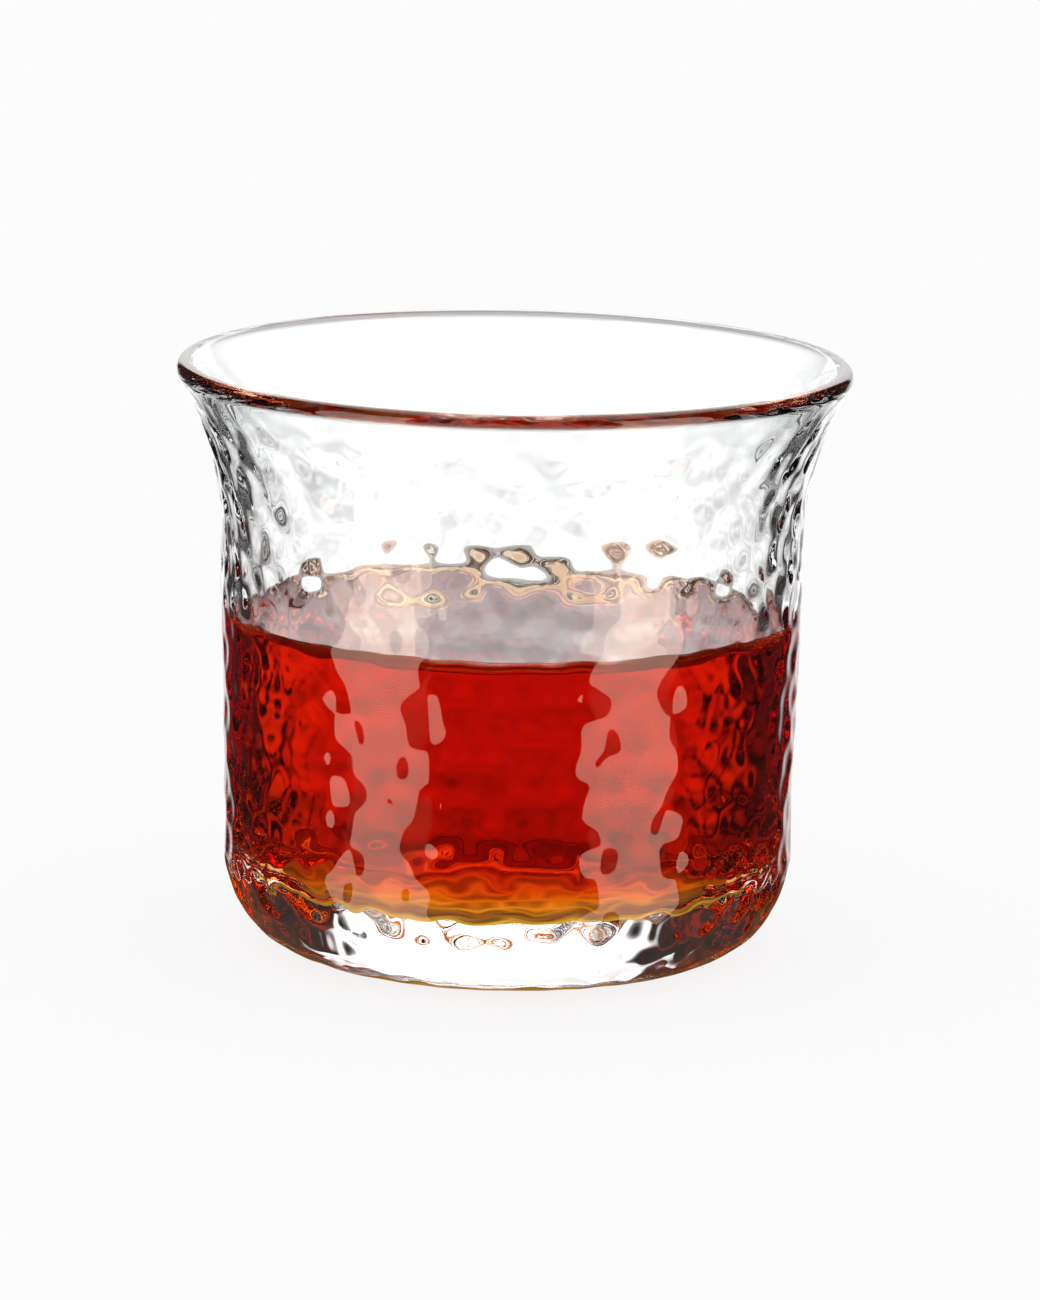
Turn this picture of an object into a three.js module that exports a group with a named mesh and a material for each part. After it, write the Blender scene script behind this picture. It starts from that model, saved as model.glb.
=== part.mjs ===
// A hammered tea glass: one heavy piece of clear glass with a flared, fire-polished lip, a dimpled
// outside, a smooth inside and a thick base, filled with black tea to a little over half its height.
// Millimetres, +Z up. The origin is the middle of the foot, on the table.
import * as THREE from 'three';

// Outside of the glass
const cupHeight = 70;
const bodyDiameter = 69; // where the wall starts to flare
const bodyTaper = 0.65; // how much smaller the radius is at the top of the heel
const flareHeight = 20.6; // from the top of the lip down to the start of the flare
const flareReach = 5.5; // how far the lip stands out past the body
const heelHeight = 11.7;
const heelReach = 9.1; // how far the rounded heel draws in to the foot
const contactWidth = 4; // flat ring that stands on the table
const puntDepth = 0.8; // hollow under the middle of the base

// Glass thickness and inside
const wallThickness = 2.6;
const lipThickness = 2.4;
const floorThickness = 8.8; // from the table to the inside of the floor
const cornerRadius = 7; // between the inside wall and the floor

// Hammered scoops on the outside
const scoopPitch = 5.8; // from the middle of one scoop to the next
const scoopDepth = 0.4;
const scoopScatter = 0.16; // how far a point may stray, as a share of its step
const depthScatter = 0.3; // how much the depth varies, as a share of itself
const halfwayDepth = 0.75; // depth half-way out to the ridge, as a share: 3/4 makes the scoop round
const plainCollar = 2.4; // smooth band under the lip

// Tea
const teaLevel = 39; // height of the flat surface above the table
const meniscusRise = 1.4; // how far the tea climbs the wall
const meniscusLength = 1.6; // distance over which the climb dies away
const teaClearance = 0.3; // gap between the tea and the glass

// Facets
const scoopsPerRow = 2 * Math.round((Math.PI * bodyDiameter) / (2 * Math.sqrt(3) * scoopPitch));
const ringPoints = 3 * scoopsPerRow; // one scoop and two ridge corners, over and over
const lipPoints = 72;
const insidePoints = 48;
const lipSteps = 5;
const flareSteps = 5;
const wallSteps = 3;
const cornerSteps = 4;
const meniscusSteps = 4;

const { lerp, smoothstep } = THREE.MathUtils;
const point = (radius, height) => new THREE.Vector2(radius, height);

// Places that the outside and the inside share
const bodyRadius = bodyDiameter / 2;
const heelRadius = bodyRadius - bodyTaper;
const footRadius = heelRadius - heelReach;
const flareStart = cupHeight - flareHeight;
const lipRadius = lipThickness / 2;
const lipCentre = point(bodyRadius + flareReach - lipRadius, cupHeight - lipRadius);

// The flare is one arc that leaves the body upright and runs into the round of the lip
const flareRise = lipCentre.y - flareStart;
const lipArcRadius = (flareReach ** 2 + flareRise ** 2) / (2 * flareReach);
const flareAngle = Math.asin(flareRise / lipArcRadius);
const flareRadius = lipArcRadius - lipRadius;

// Outside of the wall from the edge of the foot up to the lip
const third = (flareStart - heelHeight) / 3;
const wall = new THREE.Path();
wall.moveTo(footRadius, 0);
wall.absellipse(footRadius, heelHeight, heelReach, heelHeight, -Math.PI / 2, 0, false);
wall.bezierCurveTo(heelRadius, heelHeight + third, bodyRadius, flareStart - third, bodyRadius, flareStart);
wall.absarc(bodyRadius + flareRadius, flareStart, flareRadius, Math.PI, Math.PI - flareAngle, true);

// Inside of the wall: it follows the outside at the wall's thickness, and in the flare the glass thins
// towards the lip
const insideTop = flareStart + (flareRadius + lipThickness) * Math.sin(flareAngle);
function insideRadius(height) {
  const bodyOutside = lerp(heelRadius, bodyRadius, smoothstep(height, heelHeight, flareStart));
  const rise = Math.max(0, height - flareStart);
  const thickness = lerp(wallThickness, lipThickness, rise / (insideTop - flareStart));
  return bodyOutside + flareRadius - Math.sqrt((flareRadius + thickness) ** 2 - rise ** 2);
}

// Points of the inside wall, spaced evenly between two heights, with some clearance to the glass. The
// first height is left out
function insideWall(from, to, steps, clearance = 0) {
  const places = [];
  for (let step = 1; step <= steps; step++) {
    const height = lerp(from, to, step / steps);
    places.push(point(insideRadius(height) - clearance, height));
  }
  return places;
}

// Quarter round between the inside wall and the floor, from the wall down to the floor
const cornerTop = floorThickness + cornerRadius;
function insideCorner(clearance = 0) {
  const centre = point(insideRadius(cornerTop) - cornerRadius, cornerTop);
  const radius = cornerRadius - clearance;
  const places = [];
  for (let step = 0; step <= cornerSteps; step++) {
    const angle = (Math.PI / 2) * (step / cornerSteps);
    places.push(point(centre.x + radius * Math.cos(angle), centre.y - radius * Math.sin(angle)));
  }
  return places;
}

// A ring is a circle of points round the axis. turn shifts it by a share of one step
function ring(profilePoint, count, turn = 0) {
  const points = [];
  for (let column = 0; column < count; column++) {
    const angle = (2 * Math.PI * (column + turn)) / count;
    const { x: radius, y: height } = profilePoint;
    points.push(new THREE.Vector3(radius * Math.cos(angle), radius * Math.sin(angle), height));
  }
  return { points, turn };
}

// A pole is a ring drawn together to one point on the axis
const pole = (height) => ({ points: [new THREE.Vector3(0, 0, height)], turn: 0 });

// Repeatable scatter from -1 to 1 for one lattice point: the tail digits of a large sine. kind keeps
// the scatter along the wall, round it and in depth apart
const scatterKinds = { along: 1, angle: 2, depth: 3 };
const sineSize = 43758.5453;
function scatter(row, column, kind) {
  const large = Math.sin(row * 78.233 + column * 12.9898 + scatterKinds[kind] * 37.719) * sineSize;
  return 2 * (large - Math.floor(large)) - 1;
}

// A spot on the outside wall is a share of the wall's length, an angle round the axis and how deep
// the glass is pressed in there
function pressedPoint({ along, angle, depth }) {
  const surface = wall.getPoint(along);
  const tangent = wall.getTangent(along);
  const radius = surface.x - depth * tangent.y;
  const height = surface.y + depth * tangent.x;
  return new THREE.Vector3(radius * Math.cos(angle), radius * Math.sin(angle), height);
}

// Rings of the hammered outside. The points form a lattice of triangles, and every third point in a
// row, set over by half a repeat in the next row, is the pressed-in middle of a scoop whose six
// neighbours are the corners of the ridge round it. The first and last rows are plain circles.
function hammeredRings() {
  const length = wall.getLength();
  const hammeredShare = (length - plainCollar) / length;
  const rows = Math.round((hammeredShare * length) / (scoopPitch / 2));
  const rings = [];
  for (let row = 0; row <= rows; row++) {
    const isPlain = row === 0 || row === rows;
    const stray = isPlain ? 0 : scoopScatter;
    const turn = (row % 2) / 2;
    const spots = [];
    for (let column = 0; column < ringPoints; column++) {
      const isScoop = !isPlain && column % 3 === row % 2;
      const depth = isScoop ? scoopDepth * (1 + depthScatter * scatter(row, column, 'depth')) : 0;
      spots.push({
        along: (hammeredShare * (row + stray * scatter(row, column, 'along'))) / rows,
        angle: (2 * Math.PI * (column + turn + stray * scatter(row, column, 'angle'))) / ringPoints,
        depth,
      });
    }
    rings.push({ points: spots.map(pressedPoint), turn, spots });
  }
  return rings;
}

// Splits each triangle at the middle of a scoop half-way out to the ridge, so that the scoop is a
// round hollow and not a pyramid
function roundScoops(vertices, spots, triangles) {
  const halfway = new Map();
  function between(middle, corner) {
    const key = `${middle} ${corner}`;
    if (!halfway.has(key)) {
      const [from, to] = [spots[middle], spots[corner]];
      const wholeTurns = 2 * Math.PI * Math.round((from.angle - to.angle) / (2 * Math.PI));
      const spot = {
        along: lerp(from.along, to.along, 0.5),
        angle: lerp(from.angle, to.angle + wholeTurns, 0.5),
        depth: from.depth * halfwayDepth,
      };
      halfway.set(key, vertices.push(pressedPoint(spot)) - 1);
    }
    return halfway.get(key);
  }
  const faces = [];
  for (let start = 0; start < triangles.length; start += 3) {
    const corners = triangles.slice(start, start + 3);
    const first = corners.findIndex((index) => spots[index]?.depth > 0);
    if (first < 0) {
      faces.push(...corners);
      continue;
    }
    const [middle, left, right] = [0, 1, 2].map((step) => corners[(first + step) % 3]);
    const nearLeft = between(middle, left);
    const nearRight = between(middle, right);
    faces.push(middle, nearLeft, nearRight, nearLeft, left, right, nearLeft, right, nearRight);
  }
  return faces;
}

// Half round of the lip, from the outside wall over the top to the inside wall
function lipRings() {
  const rings = [];
  for (let step = 0; step <= lipSteps; step++) {
    const angle = (Math.PI * step) / lipSteps - flareAngle;
    const offset = point(lipRadius * Math.cos(angle), lipRadius * Math.sin(angle));
    rings.push(ring(lipCentre.clone().add(offset), lipPoints));
  }
  return rings;
}

// Inside of the glass from just under the lip down to the edge of the flat floor
function insideRings() {
  const profile = [
    ...insideWall(insideTop, flareStart, flareSteps),
    ...insideWall(flareStart, cornerTop, wallSteps),
    ...insideCorner().slice(1),
  ];
  return profile.map((place) => ring(place, insidePoints));
}

// Underside: a shallow hollow inside the flat ring that the glass stands on
function baseRings() {
  const puntRadius = footRadius - contactWidth;
  const puntShoulder = point(puntRadius / 2, puntDepth * (3 / 4));
  return [pole(puntDepth), ring(puntShoulder, insidePoints), ring(point(puntRadius, 0), insidePoints)];
}

// Tea: the inside of the glass less the clearance, with a flat top that climbs the wall at its edge
function teaRings() {
  const teaTop = teaLevel + meniscusRise;
  const profile = [
    ...insideCorner(teaClearance).reverse(),
    ...insideWall(cornerTop, teaTop, wallSteps, teaClearance),
  ];
  const edge = insideRadius(teaTop) - teaClearance;
  for (let step = 1; step <= meniscusSteps; step++) {
    const climb = step < meniscusSteps ? meniscusRise * Math.exp(-step) : 0;
    profile.push(point(edge - meniscusLength * step, teaLevel + climb));
  }
  const rings = profile.map((place) => ring(place, insidePoints));
  return [pole(floorThickness + teaClearance), ...rings, pole(teaLevel)];
}

// Triangles between two neighbouring rings, always stepping on along the ring that lags behind
function stitch(lower, upper, lowerStart, upperStart, triangles) {
  const lowerCount = lower.points.length;
  const upperCount = upper.points.length;
  const nextPlace = (index, { points, turn }) => {
    const isDone = points.length === 1 || index === points.length;
    return isDone ? Infinity : (index + 1 + turn) / points.length;
  };
  let i = 0;
  let j = 0;
  while (nextPlace(i, lower) < Infinity || nextPlace(j, upper) < Infinity) {
    const here = lowerStart + (i % lowerCount);
    const there = upperStart + (j % upperCount);
    if (nextPlace(i, lower) <= nextPlace(j, upper)) {
      i += 1;
      triangles.push(here, lowerStart + (i % lowerCount), there);
    } else {
      j += 1;
      triangles.push(here, upperStart + (j % upperCount), there);
    }
  }
}

// A closed skin over a run of rings that begins and ends in a pole
function skin(rings) {
  const vertices = [];
  const spots = [];
  const triangles = [];
  rings.forEach((current, index) => {
    const start = vertices.length;
    current.spots?.forEach((spot, column) => {
      spots[start + column] = spot;
    });
    vertices.push(...current.points);
    const next = rings[index + 1];
    if (next) stitch(current, next, start, vertices.length, triangles);
  });
  const faces = roundScoops(vertices, spots, triangles);
  const geometry = new THREE.BufferGeometry().setFromPoints(vertices);
  geometry.setIndex(faces);
  geometry.computeVertexNormals();
  return geometry;
}

function named(name, geometry, material) {
  const mesh = new THREE.Mesh(geometry, material);
  mesh.name = name;
  return mesh;
}

const clearGlass = new THREE.MeshStandardMaterial({
  color: 0xeef4f4,
  roughness: 0.03,
  metalness: 0,
  transparent: true,
  opacity: 0.35,
});
const blackTea = new THREE.MeshStandardMaterial({
  color: 0xa81c04,
  roughness: 0.05,
  metalness: 0,
  transparent: true,
  opacity: 0.85,
});

const glassRings = [
  ...baseRings(),
  ...hammeredRings(),
  ...lipRings(),
  ...insideRings(),
  pole(floorThickness),
];

const teaGlass = new THREE.Group();
teaGlass.add(named('glass_cup', skin(glassRings), clearGlass));
teaGlass.add(named('tea', skin(teaRings()), blackTea));

export default teaGlass;
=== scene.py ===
"""A hammered clear glass tea cup, a little over half full of black tea, on a white table."""

import math

import bpy
import numpy as np
from bpy.props import FloatProperty, PointerProperty, StringProperty
from mathutils import Matrix, Vector


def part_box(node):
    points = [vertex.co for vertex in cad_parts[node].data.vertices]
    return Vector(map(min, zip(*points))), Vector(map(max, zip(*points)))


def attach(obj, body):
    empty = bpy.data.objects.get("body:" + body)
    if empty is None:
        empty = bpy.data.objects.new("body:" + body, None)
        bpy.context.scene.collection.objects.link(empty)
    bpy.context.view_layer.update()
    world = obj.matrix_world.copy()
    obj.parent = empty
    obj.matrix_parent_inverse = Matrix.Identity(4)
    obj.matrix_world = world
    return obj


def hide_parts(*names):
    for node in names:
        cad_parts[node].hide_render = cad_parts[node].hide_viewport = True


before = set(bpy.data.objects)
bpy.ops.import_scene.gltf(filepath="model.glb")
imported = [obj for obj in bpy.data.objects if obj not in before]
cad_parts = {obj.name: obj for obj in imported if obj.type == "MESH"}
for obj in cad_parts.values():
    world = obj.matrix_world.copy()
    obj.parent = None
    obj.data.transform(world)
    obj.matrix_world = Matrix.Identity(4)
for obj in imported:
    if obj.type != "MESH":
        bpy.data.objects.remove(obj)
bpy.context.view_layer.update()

bl_info = {
    "name": "Hammered Tea Glass",
    "version": (1, 0, 0),
    "blender": (4, 5, 0),
    "location": "3D View > Sidebar > Tea Glass",
    "description": "Makes a hammered glass cup, the tea in it and a bright table to look at them on",
    "category": "Add Mesh",
}

MM = 0.001
BODY = "root"
WHITE = "#FFFFFF"

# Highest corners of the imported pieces, from which the main sizes are taken
CUP_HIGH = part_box("glass_cup")[1]
TEA_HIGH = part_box("tea")[1]

# Fineness of the meshes
OUTSIDE_COLUMNS = 440
OUTSIDE_ROWS = 176
INSIDE_COLUMNS = 220
LIP_STEPS = 14
FLARE_STEPS = 16
WALL_STEPS = 12
CORNER_STEPS = 14
MENISCUS_STEPS = 14
CURVE_STEPS = 400
TABLE_COLUMNS = 96

# Points of each ring over a round floor, with fewer of them towards its middle
FLOOR_STEP = 22
FLOOR_COLUMNS = tuple(range(INSIDE_COLUMNS - FLOOR_STEP, 0, -FLOOR_STEP))

# Where the plain wall lies between glass that no scoop reaches, 0, and the bottom of a scoop, 1
PLAIN_SHARE = 0.7

# How crisp the ridges between the scoops are: 1 is a soft swell, and a large number is a knife edge
RIDGE_POWER = 3

# Steps and size of the large sine that scatters the scoops, and the three things that it scatters
ROW_TURN = 78.233
COLUMN_TURN = 12.9898
KIND_TURN = 37.719
SCATTER_SIZE = 43758.5453
ALONG, AROUND, DEPTH = 1, 2, 3

# How far in from the wall the climb of the tea is drawn, in reaches of the meniscus
MENISCUS_SPAN = 4

# Material slots of the glass
CLEAR, WETTED, GROUND = 0, 1, 2

# Bounces of light that a look through both walls of the cup and the tea needs
LIGHT_BOUNCES = 24
GLOSSY_BOUNCES = 12


def length(name, description, millimetres):
    """A size that is given in millimetres and kept in metres."""
    metres = millimetres * MM
    return FloatProperty(name=name, description=description, default=metres, unit="LENGTH", precision=5)


def number(name, description, default):
    """A plain ratio, strength or count."""
    return FloatProperty(name=name, description=description, default=default, precision=4)


def angle(name, description, degrees):
    """An angle that is given in degrees and kept in radians."""
    return FloatProperty(name=name, description=description, default=math.radians(degrees), subtype="ANGLE")


def colour(name, description, hex_value):
    """A colour, written as sRGB hex."""
    return StringProperty(name=name, description=description, default=hex_value)


class GlassShape(bpy.types.PropertyGroup):
    """Sizes of the glass."""

    height: length("Height", "From the table to the top of the lip", CUP_HIGH.z / MM)
    rim_radius: length("Rim radius", "Outside of the lip", CUP_HIGH.x / MM)
    body_radius: length("Body radius", "Where the wall starts to flare", 34.5)
    body_taper: length("Body taper", "How much smaller the radius is at the top of the heel", 0.65)
    flare_height: length("Flare height", "From the top of the lip down to the start of the flare", 20.6)
    heel_height: length("Heel height", "Height of the rounded heel", 11.7)
    heel_reach: length("Heel reach", "How far the heel draws in to the foot", 9.1)
    contact_width: length("Contact width", "Flat ring that stands on the table", 4)
    punt_depth: length("Punt depth", "Hollow under the middle of the base", 0.8)
    wall: length("Wall", "Thickness of the body's wall", 2.6)
    lip: length("Lip", "Thickness of the rounded lip", 2.4)
    floor: length("Floor", "From the table to the inside floor", 8.8)
    corner: length("Corner", "Radius between the inside wall and the floor", 7)


class Hammering(bpy.types.PropertyGroup):
    """The scoops that are pressed into the outside of the glass."""

    pitch: length("Pitch", "From the middle of one scoop to the next in its row", 5.0)
    row_pitch: length("Row pitch", "From one row of scoops to the next", 3.9)
    depth: length("Depth", "How deep one scoop by itself is pressed in", 0.4)
    reach: length("Reach", "Distance from a scoop's middle at which its side is steepest", 1.9)
    collar: length("Collar", "Smooth band under the lip", 1.5)
    hem: length("Hem", "Stretch over which the scoops fade out towards the foot", 3)
    rim_hem: length("Rim hem", "Stretch over which they fade out towards the collar", 5)
    stray: number("Stray", "How far a scoop may stray, as a share of its step", 0.33)
    uneven: number("Uneven depth", "How much the depth varies, as a share of itself", 0.22)
    heel_share: number("Heel share", "Depth of the scoops at the foot, as a share of the rest", 0.42)
    heel_length: length("Heel length", "How far up from the foot the scoops are shallower", 22)


class TeaShape(bpy.types.PropertyGroup):
    """Sizes of the tea."""

    top: length("Top", "Height at which the edge of the tea meets the glass", TEA_HIGH.z / MM)
    rise: length("Meniscus rise", "How far the tea climbs the wall from its flat surface", 2.2)
    reach: length("Meniscus reach", "Distance over which the climb dies away", 1.5)
    clearance: length("Clearance", "Gap between the tea and the glass, too fine to see", 0.05)


class Finish(bpy.types.PropertyGroup):
    """Colours, surfaces and optical values of the glass, the tea and the table."""

    glass_tint: colour("Glass tint", "What the surface of the glass lets through", "#FDFEFE")
    glass_ior: number("Glass IOR", "Refractive index of soda-lime glass", 1.5)
    ground_ior: number("Ground IOR", "Index step that is left at the ground underside", 1.0)
    wave_pitch: length("Wave pitch", "From one wave that the flame left to the next", 4)
    wave_height: length("Wave height", "Height of those waves", 0.1)
    wave_share: number("Wave share", "How much of that height shows", 0.02)
    tea_ior: number("Tea IOR", "Refractive index of tea, which is mostly water", 1.333)
    tea_absorbs: colour("Tea colour", "What a short way through the tea lets through", "#FCE6BC")
    tea_strength: number("Tea strength", "How strongly the tea absorbs, per metre", 460)
    ripple_pitch: length("Ripple pitch", "From one ripple of the tea to the next", 9)
    ripple_height: length("Ripple height", "Height of those ripples", 0.2)
    ripple_share: number("Ripple share", "How much of that height shows", 0.05)
    floor: colour("Table", "Matt white of the table and the room", "#FCFCFC")


class Studio(bpy.types.PropertyGroup):
    """Camera, table and light cards."""

    distance: length("Camera distance", "From the lens to the middle of the cup", 700)
    elevation: angle("Camera elevation", "How far the camera looks down", 11.95)
    roll: angle("Camera roll", "How far the camera leans to its left", 0.99)
    aim_height: length("Aim height", "Height on the cup's axis that the camera is set up by", 35.08)
    aim_right: length("Aim right", "How far right of the axis the camera points", 1.149)
    aim_down: length("Aim down", "How far below the aim height the camera points", 0.144)
    lens: number("Lens", "Focal length in millimetres", 162.64)
    frame_width: number("Frame width", "Width of the camera's frame in millimetres", 36)
    floor_radius: length("Table radius", "Size of the white table", 1500)
    floor_depth: length("Table depth", "How far the table lies under the foot, too fine to see", 0.1)
    dark: number("Dark studio", "Brightness of the room beside the cards", 0.03)
    shadow: number("Shadow", "How much of the cup's shadow the table keeps", 0.12)
    # The disc under the cup that only glass sees: painted light that the tea throws, its painted net of
    # bright lines, and painted shade round the foot
    gold_radius: length("Gold radius", "Middle of the patch, where the light through the tea falls", 12)
    brown_radius: length("Brown radius", "Where that light has faded to the brown round the cup", 22)
    spot_radius: length("Spot radius", "Patch of table round the foot that the glass shows", 46)
    spot_depth: length("Spot depth", "How far that patch lies under the foot, too fine to see", 0.05)
    spot_middle: number("Spot middle", "Brightness of the patch in the middle", 0.75)
    spot_edge: number("Spot edge", "Brightness of the patch at its edge", 0.65)
    net_pitch: length("Net pitch", "Mesh of the net of light that the hammered glass throws", 8)
    net_line: number("Net line", "Half width of its lines, as a share of the mesh", 0.25)
    net_bright: number("Net bright", "Light of its lines, as a share of the patch", 1.5)
    net_dark: number("Net dark", "Light between its lines, as a share of the patch", 0.6)
    back_distance: length("Back card distance", "How far behind the cup the back cards stand", 600)
    back_aside: length("Back card aside", "How far the back cards stand to the right of the cup", 40)
    back_width: length("Back card width", "Width of the back card", 760)
    back_even: number("Back card even", "Share of the width over which the back card is even", 0.6)
    back_edge: number("Back card edge", "Share of the light that is left at the sides of the cards", 0.05)
    back_bottom: length("Back card bottom", "How far the back card hangs below the table's height", 250)
    back_low: number("Back card low", "Brightness along the bottom of the back card", 0.45)
    back_high: number("Back card high", "Brightness along the top of the back card", 1.62)
    # The ramp that only glass sees behind the cup, white with brown patches of painted tea light and shade
    ramp_distance: length("Ramp distance", "How far behind the axis the ramp from the back card ends", 46)
    ramp_width: length("Ramp width", "Width of the ramp at that end", 90)
    ramp_depth: length("Ramp depth", "How far below the table's height that end lies", 2)
    ramp_white: number("Ramp white", "Brightness of the ramp outside the brown patches", 0.85)
    ramp_light: number("Ramp light", "Brightness of the brown patches", 0.3)
    ramp_reaches: number("Ramp reaches", "Share of the ramp, from the back, where the patches set in", 0.6)
    patch_pitch: length("Patch pitch", "From one brown patch to the next", 24)
    patch_level: number("Patch level", "Value of the clouds, 0 to 1, at which a patch is full", 0.48)
    patch_soft: number("Patch softness", "How softly a patch fades into the white", 0.06)
    # Colours of the painted light and shade that the tea throws, on the disc under the cup and on the ramp
    gold_light: colour("Gold light", "Light that the tea throws on the table under the cup", "#EDAC2F")
    tea_light: colour("Tea light", "Light that the tea throws on the table round the cup", "#8C5A2A")
    softbox_width: length("Softbox width", "Width of the softbox and the overhead card", 560)
    softbox_even: number("Softbox even", "Share of that width over which they are even", 0.8)
    softbox_bottom: length("Softbox bottom", "Height at which it takes over from the back card", 40)
    softbox_top: length("Softbox top", "Height of the top of the softbox", 420)
    softbox_low: number("Softbox low", "Brightness along the bottom of the softbox", 1.0)
    softbox_high: number("Softbox high", "Brightness along the top of the softbox", 2.8)
    overhead_reach: length("Overhead reach", "How far past the cup's axis the overhead card comes", 300)
    overhead_height: length("Overhead height", "Height of that end above the table", 600)
    overhead_light: number("Overhead light", "Brightness of the overhead card at that end", 0.75)
    strip: number("Strip", "Brightness of the two strip cards", 4.2)
    strip_colour: colour("Strip colour", "Warm light of the two strip cards", "#FFDCC4")
    strip_angle: angle("Strip angle", "How far round from the camera each strip stands", 51)
    strip_distance: length("Strip distance", "From the cup's axis to a strip", 500)
    strip_width: length("Strip width", "Width of a strip", 290)
    strip_reach: length("Strip reach", "How far a strip reaches above and below the table's height", 400)


class TeaGlass(bpy.types.PropertyGroup):
    """All settings of the tea glass."""

    glass: PointerProperty(type=GlassShape)
    hammering: PointerProperty(type=Hammering)
    tea: PointerProperty(type=TeaShape)
    finish: PointerProperty(type=Finish)
    studio: PointerProperty(type=Studio)


def smooth_rise(value, low, high):
    """0 at low, 1 at high and level at both ends."""
    share = np.clip((value - low) / (high - low), 0, 1)
    return share * share * (3 - 2 * share)


class CupSection:
    """The section of the cup as curves of radius and height, worked out from its sizes."""

    def __init__(self, shape):
        self.shape = shape
        self.heel_radius = shape.body_radius - shape.body_taper
        self.foot_radius = self.heel_radius - shape.heel_reach
        self.flare_start = shape.height - shape.flare_height
        self.corner_top = shape.floor + shape.corner
        self.lip_radius = shape.lip / 2
        self.lip_centre = (shape.rim_radius - self.lip_radius, shape.height - self.lip_radius)
        # The flare is one arc that leaves the body upright and runs into the round of the lip. The arc
        # beside it that goes through the middle of the lip gives its radius.
        rise = self.lip_centre[1] - self.flare_start
        reach = shape.rim_radius - shape.body_radius
        lip_arc = (reach**2 + rise**2) / (2 * reach)
        self.flare_radius = lip_arc - self.lip_radius
        self.flare_angle = math.asin(rise / lip_arc)
        self.inside_top = self.flare_start + (self.flare_radius + shape.lip) * math.sin(self.flare_angle)

    def body_outside(self, height):
        """Outside radius of the body, which widens a little towards the flare."""
        share = smooth_rise(height, self.shape.heel_height, self.flare_start)
        return self.heel_radius + self.shape.body_taper * share

    def outside(self):
        """Fine points of the outside from the edge of the foot up to the lip."""
        shape = self.shape
        turn = np.linspace(-math.pi / 2, 0, CURVE_STEPS)
        heel_radii = self.foot_radius + shape.heel_reach * np.cos(turn)
        heel_heights = shape.heel_height * (1 + np.sin(turn))
        body_heights = np.linspace(shape.heel_height, self.flare_start, CURVE_STEPS)[1:]
        turn = np.linspace(0, self.flare_angle, CURVE_STEPS)[1:]
        flare_radii = shape.body_radius + self.flare_radius * (1 - np.cos(turn))
        flare_heights = self.flare_start + self.flare_radius * np.sin(turn)
        radii = np.concatenate([heel_radii, self.body_outside(body_heights), flare_radii])
        heights = np.concatenate([heel_heights, body_heights, flare_heights])
        return radii, heights

    def inside_radius(self, height):
        """Inside radius: it follows the outside at the wall's thickness and thins towards the lip."""
        rise = np.maximum(0, height - self.flare_start)
        thinning = rise / (self.inside_top - self.flare_start)
        thickness = self.shape.wall + (self.shape.lip - self.shape.wall) * thinning
        arc = np.sqrt((self.flare_radius + thickness) ** 2 - rise**2)
        return self.body_outside(height) + self.flare_radius - arc

    def inside_wall(self, start, end, steps, clearance=0.0):
        """Points of the inside wall between two heights, without the first."""
        heights = np.linspace(start, end, steps + 1)[1:]
        return list(zip(self.inside_radius(heights) - clearance, heights))

    def inside_corner(self, clearance=0.0):
        """Arc from the inside wall down to the flat floor."""
        turn = np.linspace(0, math.pi / 2, CORNER_STEPS + 1)
        radius = self.shape.corner - clearance
        centre = self.inside_radius(self.corner_top) - self.shape.corner
        return list(zip(centre + radius * np.cos(turn), self.corner_top - radius * np.sin(turn)))

    def lip(self):
        """Half round of the lip, from the outside over the top to the inside."""
        turn = np.linspace(0, math.pi, LIP_STEPS + 1)[1:] - self.flare_angle
        radii = self.lip_centre[0] + self.lip_radius * np.cos(turn)
        heights = self.lip_centre[1] + self.lip_radius * np.sin(turn)
        return list(zip(radii, heights))


def circle(columns):
    """Angles of the points of a ring."""
    return np.arange(columns) * (2 * math.pi / columns)


def ring(radius, height, columns):
    """A circle of points round the axis. radius and height are numbers, or one value a point."""
    turn = circle(columns)
    heights = np.broadcast_to(height, turn.shape)
    return np.stack([radius * np.cos(turn), radius * np.sin(turn), heights], axis=1)


def rings_along(points, columns):
    """A ring for each point of a section, which is a radius and a height."""
    return [ring(radius, height, columns) for radius, height in points]


def floor_rings(radius, height, hollow=0.0):
    """Rings over a round floor from inside its edge to the point in its middle, which lies higher than
    the edge by the hollow."""
    rings = []
    for columns in FLOOR_COLUMNS:
        share = columns / INSIDE_COLUMNS
        rings.append(ring(radius * share, height + hollow * (1 - share**2), columns))
    middle = np.array([[0.0, 0.0, height + hollow]])
    return rings + [middle]


def band(first, second, first_start, second_start):
    """Faces between two neighbouring rings: quads where they match, and triangles where they don't."""
    first_count, second_count = len(first), len(second)
    if first_count == second_count:
        turns = [(i, (i + 1) % first_count) for i in range(first_count)]
        return [(first_start + i, first_start + j, second_start + j, second_start + i) for i, j in turns]
    faces = []
    i = j = 0
    first_steps = first_count if first_count > 1 else 0
    second_steps = second_count if second_count > 1 else 0
    while i < first_steps or j < second_steps:
        here = first_start + i % first_count
        there = second_start + j % second_count
        if j == second_steps or (i < first_steps and (i + 1) * second_count <= (j + 1) * first_count):
            i += 1
            faces.append((here, first_start + i % first_count, there))
        else:
            j += 1
            faces.append((here, second_start + j % second_count, there))
    return faces


def add_object(name, data):
    """A new object in the scene."""
    made = bpy.data.objects.new(name, data)
    bpy.context.scene.collection.objects.link(made)
    return made


def skin(name, rings):
    """A closed, smooth-shaded piece over a run of rings, and how many faces each band of it has."""
    faces = []
    band_sizes = []
    start = 0
    for first, second in zip(rings, rings[1:]):
        made = band(first, second, start, start + len(first))
        faces += made
        band_sizes.append(len(made))
        start += len(first)
    mesh = bpy.data.meshes.new(name)
    mesh.from_pydata(np.concatenate(rings).tolist(), [], faces)
    mesh.shade_smooth()
    return add_object(name, mesh), band_sizes


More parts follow.
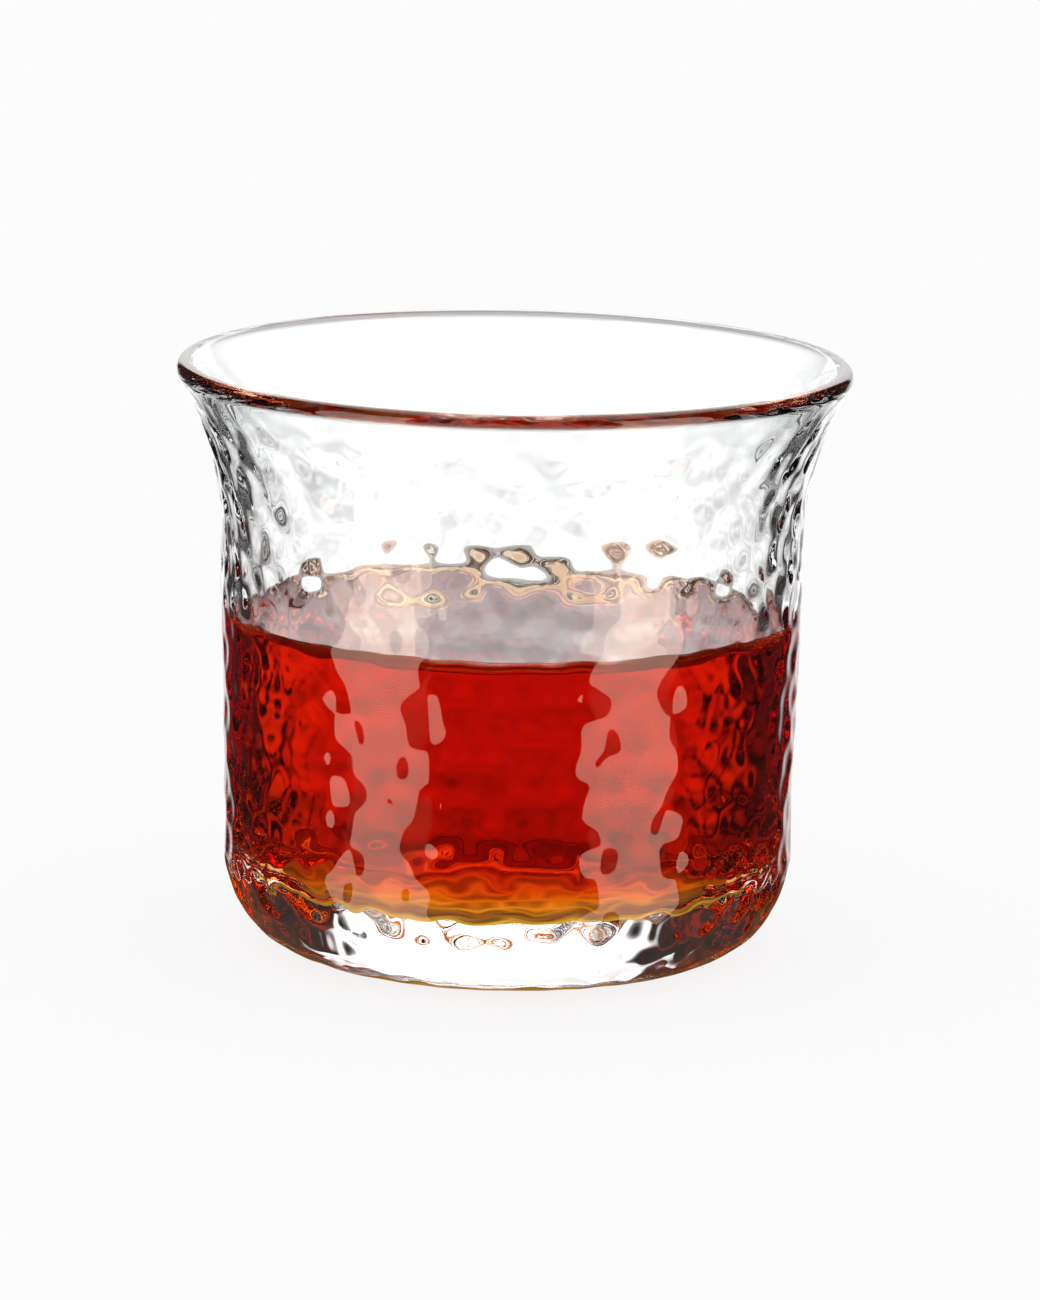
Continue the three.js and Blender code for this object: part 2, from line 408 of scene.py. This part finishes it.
def scatter(row, column, kind):
    """Repeatable scatter from -1 to 1 for one scoop: the tail digits of a large sine."""
    large = math.sin(row * ROW_TURN + column * COLUMN_TURN + kind * KIND_TURN) * SCATTER_SIZE
    return 2 * (large - math.floor(large)) - 1


def scoop_middles(hammered_length, hammering, body_radius):
    """Place along the wall, angle and depth of each scoop. They stand in rows that are set over by
    half a step, as a hammer's blows fall, and no two are quite alike."""
    per_row = round(2 * math.pi * body_radius / hammering.pitch)
    rows = round(hammered_length / hammering.row_pitch)
    scoops = []
    for row in range(rows):
        for column in range(per_row):
            along = (row + 0.5 + hammering.stray * scatter(row, column, ALONG)) * hammered_length / rows
            turn = (column + row % 2 / 2 + hammering.stray * scatter(row, column, AROUND)) / per_row
            heel = smooth_rise(along, 0, hammering.heel_length)
            depth = hammering.depth * (hammering.heel_share + (1 - hammering.heel_share) * heel)
            depth *= 1 + hammering.uneven * scatter(row, column, DEPTH)
            scoops.append((along, 2 * math.pi * turn, depth))
    return np.array(scoops)


def hammered_rings(section, hammering):
    """Rings of the outside wall, pressed in by the scoops. Each scoop is a shallow bowl that runs out
    softly, so that the ridges between the bowls are round too, as the flame leaves them."""
    radii, heights = section.outside()
    lengths = np.concatenate([[0], np.cumsum(np.hypot(np.diff(radii), np.diff(heights)))])
    along = np.linspace(0, lengths[-1], OUTSIDE_ROWS + 1)
    row_radii = np.interp(along, lengths, radii)
    row_heights = np.interp(along, lengths, heights)
    outward = np.gradient(row_heights, along)
    upward = np.gradient(row_radii, along)
    top = lengths[-1] - hammering.collar
    scoops = scoop_middles(top, hammering, section.shape.body_radius)
    fade = smooth_rise(along, 0, hammering.hem) * smooth_rise(along, top, top - hammering.rim_hem)
    turn = circle(OUTSIDE_COLUMNS)
    aside = (turn[:, None] - scoops[None, :, 1] + math.pi) % (2 * math.pi) - math.pi
    rings = []
    for row in range(OUTSIDE_ROWS + 1):
        apart = (along[row] - scoops[:, 0]) ** 2 + (row_radii[row] * aside) ** 2
        bowls = np.exp(-apart / (2 * hammering.reach**2) * RIDGE_POWER) @ scoops[:, 2] ** RIDGE_POWER
        bowls = bowls ** (1 / RIDGE_POWER)
        pressed = fade[row] * (bowls - hammering.depth * PLAIN_SHARE)
        ring_radii = row_radii[row] - pressed * outward[row]
        ring_heights = row_heights[row] + pressed * upward[row]
        rings.append(ring(ring_radii, ring_heights, OUTSIDE_COLUMNS))
    return rings


def make_glass(settings):
    """The glass cup. Where the tea wets it and where its underside is ground it has finishes of its own."""
    shape = settings.glass
    section = CupSection(shape)
    punt_radius = section.foot_radius - shape.contact_width
    base = floor_rings(punt_radius, 0, shape.punt_depth)[::-1]
    base.append(ring(punt_radius, 0, INSIDE_COLUMNS))
    outside = hammered_rings(section, settings.hammering)
    lip = rings_along(section.lip(), OUTSIDE_COLUMNS)
    tea_top = settings.tea.top
    dry = section.inside_wall(section.inside_top, section.flare_start, FLARE_STEPS)
    dry += section.inside_wall(section.flare_start, tea_top, WALL_STEPS)
    wet = section.inside_wall(tea_top, section.corner_top, WALL_STEPS) + section.inside_corner()[1:]
    dry_rings = rings_along(dry, INSIDE_COLUMNS)
    wet_rings = rings_along(wet, INSIDE_COLUMNS) + floor_rings(wet[-1][0], shape.floor)
    piece, band_sizes = skin("hammered_glass", base + outside + lip + dry_rings + wet_rings)
    ground_faces = sum(band_sizes[:len(base) - 1])
    wet_faces = sum(band_sizes[-len(wet_rings):])
    slots = np.full(len(piece.data.polygons), CLEAR, dtype=np.int32)
    slots[:ground_faces] = GROUND
    slots[-wet_faces:] = WETTED
    for surface in (clear_glass, wetted_glass, ground_glass):
        piece.data.materials.append(surface(settings.finish))
    piece.data.polygons.foreach_set("material_index", slots)
    return piece


def make_tea(settings):
    """The tea: the inside of the glass less a hair's breadth, with a flat top that climbs the wall."""
    shape = settings.tea
    section = CupSection(settings.glass)
    level = shape.top - shape.rise
    sides = section.inside_corner(shape.clearance)[::-1]
    sides += section.inside_wall(section.corner_top, shape.top, WALL_STEPS, shape.clearance)
    bottom_radius = sides[0][0]
    edge_radius = sides[-1][0]
    bottom = floor_rings(bottom_radius, settings.glass.floor + shape.clearance)[::-1]
    inward = shape.reach * MENISCUS_SPAN * np.linspace(0, 1, MENISCUS_STEPS + 1)[1:] ** 2
    climb = shape.rise * np.exp(-inward / shape.reach)
    top_rings = rings_along(zip(edge_radius - inward, level + climb), INSIDE_COLUMNS)
    top_rings += floor_rings(edge_radius - inward[-1], level)
    piece, band_sizes = skin("black_tea", bottom + rings_along(sides, INSIDE_COLUMNS) + top_rings)
    top_faces = sum(band_sizes[-len(top_rings):])
    is_open = np.zeros(len(piece.data.polygons), dtype=np.float32)
    is_open[-top_faces:] = 1
    piece.data.attributes.new("open_surface", "FLOAT", "FACE").data.foreach_set("value", is_open)
    piece.data.materials.append(black_tea(settings.finish))
    return piece


def linear(hex_value):
    """An sRGB hex colour as linear red, green, blue and alpha."""
    parts = [int(hex_value[i:i + 2], 16) / 255 for i in (1, 3, 5)]
    return [p / 12.92 if p <= 0.04045 else ((p + 0.055) / 1.055) ** 2.4 for p in parts] + [1]


def add_node(tree, kind, settings=None, **inputs):
    """A node with its settings, and each input set to a value or linked to another node's output. An
    input is given by its name in small letters, or as in0, in1 and so on by its place."""
    node = tree.nodes.new(kind)
    for name, value in (settings or {}).items():
        setattr(node, name, value)
    for name, value in inputs.items():
        if name == "ior":
            socket = node.inputs["IOR"]
        elif name.startswith("in"):
            socket = node.inputs[int(name[2:])]
        else:
            socket = node.inputs[name.replace("_", " ").title()]
        if isinstance(value, bpy.types.NodeSocket):
            tree.links.new(value, socket)
        else:
            socket.default_value = value
    return node


def new_material(name):
    """An empty material and its node tree."""
    material = bpy.data.materials.new(name)
    material.use_nodes = True
    material.node_tree.nodes.clear()
    return material, material.node_tree


def clear_glass(finish):
    """Soda-lime glass, pressed and fire-polished: mirror smooth, clear and with the faint waviness that
    a flame leaves."""
    return soda_lime("soda_lime_glass", finish, finish.glass_ior)


def wetted_glass(finish):
    """The same glass where tea wets it. The step to tea is smaller than the step to air, so this face
    hardly shines and bends light less."""
    return soda_lime("soda_lime_glass_wetted", finish, finish.glass_ior / finish.tea_ior)


def ground_glass(finish):
    """The underside, ground flat on a wheel. Its fine frost takes up the light that lies on the table, so
    that it shows that light and mirrors next to nothing."""
    return soda_lime("soda_lime_glass_ground", finish, finish.ground_ior)


def soda_lime(name, finish, ior):
    """Clear glass with the index step that the other side of its surface gives."""
    material, tree = new_material(name)
    place = add_node(tree, "ShaderNodeTexCoord").outputs["Object"]
    waves = add_node(tree, "ShaderNodeTexNoise", vector=place, scale=1 / finish.wave_pitch, detail=2)
    bump = add_node(
        tree,
        "ShaderNodeBump",
        strength=finish.wave_share,
        distance=finish.wave_height,
        height=waves.outputs["Fac"],
    )
    glass = add_node(
        tree,
        "ShaderNodeBsdfPrincipled",
        base_color=linear(finish.glass_tint),
        roughness=0.0,
        ior=ior,
        transmission_weight=1.0,
        normal=bump.outputs["Normal"],
    )
    add_node(tree, "ShaderNodeOutputMaterial", surface=glass.outputs["BSDF"])
    return material


def black_tea(finish):
    """Black tea, strained: a clear liquid that takes out blue first and then green, so that a thin layer
    is amber and the full cup is red. Its sides lie against the glass and bend nothing. Only its open
    top meets the air."""
    material, tree = new_material("strained_black_tea")
    place = add_node(tree, "ShaderNodeTexCoord").outputs["Object"]
    ripples = add_node(tree, "ShaderNodeTexNoise", vector=place, scale=1 / finish.ripple_pitch, detail=1)
    bump = add_node(
        tree,
        "ShaderNodeBump",
        strength=finish.ripple_share,
        distance=finish.ripple_height,
        height=ripples.outputs["Fac"],
    )
    is_open = add_node(tree, "ShaderNodeAttribute", {"attribute_name": "open_surface"})
    ior = add_node(
        tree,
        "ShaderNodeMath",
        {"operation": "MULTIPLY_ADD"},
        in0=is_open.outputs["Fac"],
        in1=finish.tea_ior - 1,
        in2=1.0,
    )
    surface = add_node(
        tree,
        "ShaderNodeBsdfPrincipled",
        base_color=linear(WHITE),
        roughness=0.0,
        ior=ior.outputs["Value"],
        transmission_weight=1.0,
        normal=bump.outputs["Normal"],
    )
    body = add_node(
        tree,
        "ShaderNodeVolumeAbsorption",
        color=linear(finish.tea_absorbs),
        density=finish.tea_strength,
    )
    add_node(
        tree,
        "ShaderNodeOutputMaterial",
        surface=surface.outputs["BSDF"],
        volume=body.outputs["Volume"],
    )
    return material


def white_table(finish, studio):
    """Matt white board, lit from below as well as above, so that the cup's shadow on it is faint."""
    material, tree = new_material("matt_white_board")
    board = add_node(tree, "ShaderNodeBsdfDiffuse", color=linear(finish.floor))
    white = add_node(tree, "ShaderNodeEmission", color=linear(finish.floor), strength=1.0)
    mix = add_node(
        tree,
        "ShaderNodeMixShader",
        in0=studio.shadow,
        in1=white.outputs["Emission"],
        in2=board.outputs["BSDF"],
    )
    add_node(tree, "ShaderNodeOutputMaterial", surface=mix.outputs["Shader"])
    material.cycles.emission_sampling = "NONE"
    return material


def glow(material, tree, share, first, second, fall=1.0):
    """Light that changes in strength and colour from one end of a surface to the other. share is 0 to 1
    along it, and each end is a strength and an sRGB hex colour. fall dims it as a whole."""
    strength = add_node(tree, "ShaderNodeMapRange", value=share, to_min=first[0], to_max=second[0])
    dimmed = add_node(
        tree,
        "ShaderNodeMath",
        {"operation": "MULTIPLY"},
        in0=strength.outputs["Result"],
        in1=fall,
    )
    # A mix of colours takes them at its inputs 6 and 7, and gives one at its output 2
    tint = add_node(
        tree,
        "ShaderNodeMix",
        {"data_type": "RGBA"},
        in0=share,
        in6=linear(first[1]),
        in7=linear(second[1]),
    )
    light = add_node(tree, "ShaderNodeEmission", color=tint.outputs[2], strength=dimmed.outputs["Value"])
    add_node(tree, "ShaderNodeOutputMaterial", surface=light.outputs["Emission"])
    material.cycles.emission_sampling = "NONE"


def lit_spot(studio):
    """A glowing disc that only glass sees, in place of the board right under and round the cup: painted
    light that came through the tea, gold under the cup, and painted shade with that light, brown round
    it, with a painted net of bright lines such as hammered glass throws. It puts the threads of gold in
    the shallow tea. The net is as coarse as it needs to show."""
    material, tree = new_material("painted_tea_light_and_shade")
    place = add_node(tree, "ShaderNodeTexCoord").outputs["Object"]
    away = add_node(tree, "ShaderNodeVectorMath", {"operation": "LENGTH"}, in0=place)
    share = add_node(
        tree,
        "ShaderNodeMapRange",
        value=away.outputs["Value"],
        from_min=studio.gold_radius,
        from_max=studio.brown_radius,
    )
    cells = add_node(
        tree,
        "ShaderNodeTexVoronoi",
        {"feature": "DISTANCE_TO_EDGE"},
        vector=place,
        scale=1 / studio.net_pitch,
    )
    net = add_node(
        tree,
        "ShaderNodeMapRange",
        value=cells.outputs["Distance"],
        from_max=studio.net_line,
        to_min=studio.net_bright,
        to_max=studio.net_dark,
    )
    middle = (studio.spot_middle, studio.gold_light)
    edge = (studio.spot_edge, studio.tea_light)
    glow(material, tree, share.outputs["Result"], middle, edge, net.outputs["Result"])
    return material


def lit_ramp(studio):
    """A glowing card that only glass sees, in place of the board behind the cup: white, and near the cup
    mottled with brown patches of painted light that came through the tea and painted shade. It draws the
    brown islands along the back of the waterline. The patches are as coarse as they need to show."""
    material, tree = new_material("painted_tea_light_and_shade_behind")
    place = add_node(tree, "ShaderNodeTexCoord").outputs
    parts = add_node(tree, "ShaderNodeSeparateXYZ", vector=place["Generated"]).outputs
    near = add_node(tree, "ShaderNodeMapRange", value=parts["Z"], from_max=studio.ramp_reaches)
    clouds = add_node(
        tree,
        "ShaderNodeTexNoise",
        vector=place["Object"],
        scale=1 / studio.patch_pitch,
        detail=0,
    )
    patches = add_node(
        tree,
        "ShaderNodeMapRange",
        value=clouds.outputs["Fac"],
        from_min=studio.patch_level - studio.patch_soft,
        from_max=studio.patch_level,
    )
    share = add_node(
        tree,
        "ShaderNodeMath",
        {"operation": "MULTIPLY"},
        in0=near.outputs["Result"],
        in1=patches.outputs["Result"],
    )
    white = (studio.ramp_white, WHITE)
    brown = (studio.ramp_light, studio.tea_light)
    glow(material, tree, share.outputs["Value"], white, brown)
    return material


def diffuser_cloth(card_name, low, high, even=0.0, edge=1.0):
    """White woven nylon on the front of a softbox, lit from behind, so that it glows without a lamp to be
    seen in it. low and high are the light along its bottom and its top. It is even over a share of the
    width and falls to the share that is given by edge at the sides."""
    material, tree = new_material("white_nylon_cloth_" + card_name)
    place = add_node(tree, "ShaderNodeTexCoord").outputs["Generated"]
    parts = add_node(tree, "ShaderNodeSeparateXYZ", vector=place).outputs
    across = add_node(tree, "ShaderNodeMapRange", value=parts["X"], to_min=-1.0).outputs["Result"]
    aside = add_node(tree, "ShaderNodeMath", {"operation": "ABSOLUTE"}, in0=across)
    fall = add_node(
        tree,
        "ShaderNodeMapRange",
        {"interpolation_type": "SMOOTHSTEP"},
        value=aside.outputs["Value"],
        from_min=even,
        to_min=1.0,
        to_max=edge,
    )
    glow(material, tree, parts["Z"], low, high, fall.outputs["Result"])
    return material


def studio_world(finish, studio):
    """White round the table, for the eye and for matt surfaces. Glass sees the dark room and the cards."""
    world = bpy.data.worlds.new("studio")
    bpy.context.scene.world = world
    world.use_nodes = True
    tree = world.node_tree
    tree.nodes.clear()
    path = add_node(tree, "ShaderNodeLightPath")
    bright = add_node(
        tree,
        "ShaderNodeMath",
        {"operation": "MAXIMUM"},
        in0=path.outputs["Is Camera Ray"],
        in1=path.outputs["Diffuse Depth"],
    )
    level = add_node(
        tree,
        "ShaderNodeMapRange",
        value=bright.outputs["Value"],
        to_min=studio.dark,
        to_max=1.0,
    )
    light = add_node(
        tree,
        "ShaderNodeBackground",
        color=linear(finish.floor),
        strength=level.outputs["Result"],
    )
    add_node(tree, "ShaderNodeOutputWorld", surface=light.outputs["Background"])


def make_camera(studio):
    """The camera, set up by a point on the cup's axis."""
    data = bpy.data.cameras.new("camera")
    data.lens = studio.lens
    data.sensor_width = studio.frame_width
    camera = add_object("camera", data)
    bpy.context.scene.camera = camera
    middle = Vector((0, 0, studio.aim_height))
    back = Vector((0, -math.cos(studio.elevation), math.sin(studio.elevation)))
    right = Vector((1, 0, 0))
    up = back.cross(right)
    camera.location = middle + back * studio.distance
    aim = middle + right * studio.aim_right - up * studio.aim_down
    look = (aim - camera.location).to_track_quat("-Z", "Y")
    camera.rotation_euler = (look.to_matrix() @ Matrix.Rotation(studio.roll, 3, "Z")).to_euler()
    return camera


def make_hub(camera):
    """The point under the cup that the cards stand round. It turns with the camera, so that the cup is
    lit alike from all sides, as on a turntable."""
    hub = add_object("card_hub", None)
    turn = hub.constraints.new("LOCKED_TRACK")
    turn.target = camera
    turn.track_axis = "TRACK_NEGATIVE_Y"
    turn.lock_axis = "LOCK_Z"
    return hub


def flat_piece(name, corners, material):
    """A flat piece of the stage with one face, which casts no shadow."""
    mesh = bpy.data.meshes.new(name)
    mesh.from_pydata(corners, [], [tuple(range(len(corners)))])
    mesh.materials.append(material)
    piece = add_object(name, mesh)
    piece.visible_shadow = False
    return piece


def stand_card(hub, name, material, azimuth, low_edge, high_edge):
    """A card that faces the cup. azimuth goes round from the camera to the right. An edge is given by its
    distance from the cup's axis, its width and its height above the table."""
    corners = []
    for (distance, width, height), side in ((low_edge, 1), (high_edge, -1)):
        corners.append((-side * width / 2, -distance, height))
        corners.append((side * width / 2, -distance, height))
    card = flat_piece(name, corners, material)
    card.parent = hub
    card.rotation_euler.z = azimuth
    card.visible_camera = False
    card.visible_diffuse = False
    return card


def make_back_cards(hub, studio):
    """The ramp behind the cup, and the lights that go up from its far end and over the cup."""
    back = (studio.back_distance, studio.back_width)
    soft = (studio.back_distance, studio.softbox_width)
    ramp_end = (studio.ramp_distance, studio.ramp_width, -studio.ramp_depth)
    back_bottom = (*back, -studio.back_bottom)
    back_top = (*back, studio.softbox_bottom)
    soft_bottom = (*soft, studio.softbox_bottom)
    soft_top = (*soft, studio.softbox_top)
    over_end = (-studio.overhead_reach, studio.softbox_width, studio.overhead_height)
    stand_card(hub, "back_ramp", lit_ramp(studio), math.pi, back_bottom, ramp_end)
    back_light = (studio.back_low, studio.back_high, studio.back_even)
    soft_light = (studio.softbox_low, studio.softbox_high, studio.softbox_even)
    over_light = (studio.softbox_high, studio.overhead_light, studio.softbox_even)
    for name, low_edge, high_edge, (low, high, even) in (
        ("back_card", back_bottom, back_top, back_light),
        ("back_softbox", soft_bottom, soft_top, soft_light),
        ("overhead_card", soft_top, over_end, over_light),
    ):
        cloth = diffuser_cloth(name, (low, WHITE), (high, WHITE), even, studio.back_edge)
        card = stand_card(hub, name, cloth, math.pi, low_edge, high_edge)
        card.location.x = studio.back_aside


def make_strips(hub, studio):
    """The two tall lights to the left and right of the camera, which the cup mirrors as strips."""
    strip = (studio.strip_distance, studio.strip_width)
    low_edge = (*strip, -studio.strip_reach)
    high_edge = (*strip, studio.strip_reach)
    light = (studio.strip, studio.strip_colour)
    for side, name in ((-1, "left_strip"), (1, "right_strip")):
        cloth = diffuser_cloth(name, light, light)
        stand_card(hub, name, cloth, side * studio.strip_angle, low_edge, high_edge)


def lay_disc(name, radius, depth, material):
    """A flat round piece of the table, a hair's breadth under the foot."""
    disc = flat_piece(name, ring(radius, -depth, TABLE_COLUMNS).tolist(), material)
    return disc


def make_table(settings):
    """The white table for the eye, and under the foot a glowing disc that only the glass shows, with the
    painted light and shade that the tea throws.
    """
    studio = settings.studio
    spot = lay_disc("table_spot", studio.spot_radius, studio.spot_depth, lit_spot(studio))
    spot.visible_camera = False
    spot.visible_diffuse = False
    board = white_table(settings.finish, studio)
    table = lay_disc("table", studio.floor_radius, studio.floor_depth, board)
    table.visible_glossy = False
    table.visible_transmission = False


class TEAGLASS_OT_glass(bpy.types.Operator):
    """Make the hammered glass cup in place of its plain solid"""

    bl_idname = "teaglass.glass"
    bl_label = "Glass cup"

    def execute(self, context):
        piece = make_glass(context.scene.tea_glass)
        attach(piece, BODY)
        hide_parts("glass_cup")
        return {"FINISHED"}


class TEAGLASS_OT_tea(bpy.types.Operator):
    """Make the tea in place of its plain solid"""

    bl_idname = "teaglass.tea"
    bl_label = "Tea"

    def execute(self, context):
        piece = make_tea(context.scene.tea_glass)
        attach(piece, BODY)
        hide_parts("tea")
        return {"FINISHED"}


class TEAGLASS_OT_stage(bpy.types.Operator):
    """Set up the camera, the table, the light cards and the white surroundings"""

    bl_idname = "teaglass.stage"
    bl_label = "Stage"

    def execute(self, context):
        scene = context.scene
        settings = scene.tea_glass
        studio = settings.studio
        hub = make_hub(make_camera(studio))
        make_table(settings)
        studio_world(settings.finish, studio)
        make_back_cards(hub, studio)
        make_strips(hub, studio)
        scene.view_settings.view_transform = "Standard"
        scene.cycles.max_bounces = LIGHT_BOUNCES
        scene.cycles.transmission_bounces = LIGHT_BOUNCES
        scene.cycles.glossy_bounces = GLOSSY_BOUNCES
        return {"FINISHED"}


class TEAGLASS_PT_panel(bpy.types.Panel):
    """Lists the steps that make the tea glass, and its sizes and colours"""

    bl_idname = "TEAGLASS_PT_panel"
    bl_label = "Tea Glass"
    bl_space_type = "VIEW_3D"
    bl_region_type = "UI"
    bl_category = "Tea Glass"

    def draw(self, context):
        for operator in OPERATORS:
            self.layout.operator(operator.bl_idname)
        for group_name in TeaGlass.__annotations__:
            group = getattr(context.scene.tea_glass, group_name)
            box = self.layout.box()
            box.label(text=group_name.title())
            for value_name in type(group).__annotations__:
                box.prop(group, value_name)


OPERATORS = (TEAGLASS_OT_stage, TEAGLASS_OT_glass, TEAGLASS_OT_tea)
GROUPS = (GlassShape, Hammering, TeaShape, Finish, Studio, TeaGlass)
CLASSES = GROUPS + OPERATORS + (TEAGLASS_PT_panel,)


def register():
    for cls in CLASSES:
        bpy.utils.register_class(cls)
    bpy.types.Scene.tea_glass = PointerProperty(type=TeaGlass)


def unregister():
    del bpy.types.Scene.tea_glass
    for cls in reversed(CLASSES):
        bpy.utils.unregister_class(cls)


def main():
    register()
    bpy.ops.teaglass.stage()
    bpy.ops.teaglass.glass()
    bpy.ops.teaglass.tea()


if __name__ == "__main__":
    main()
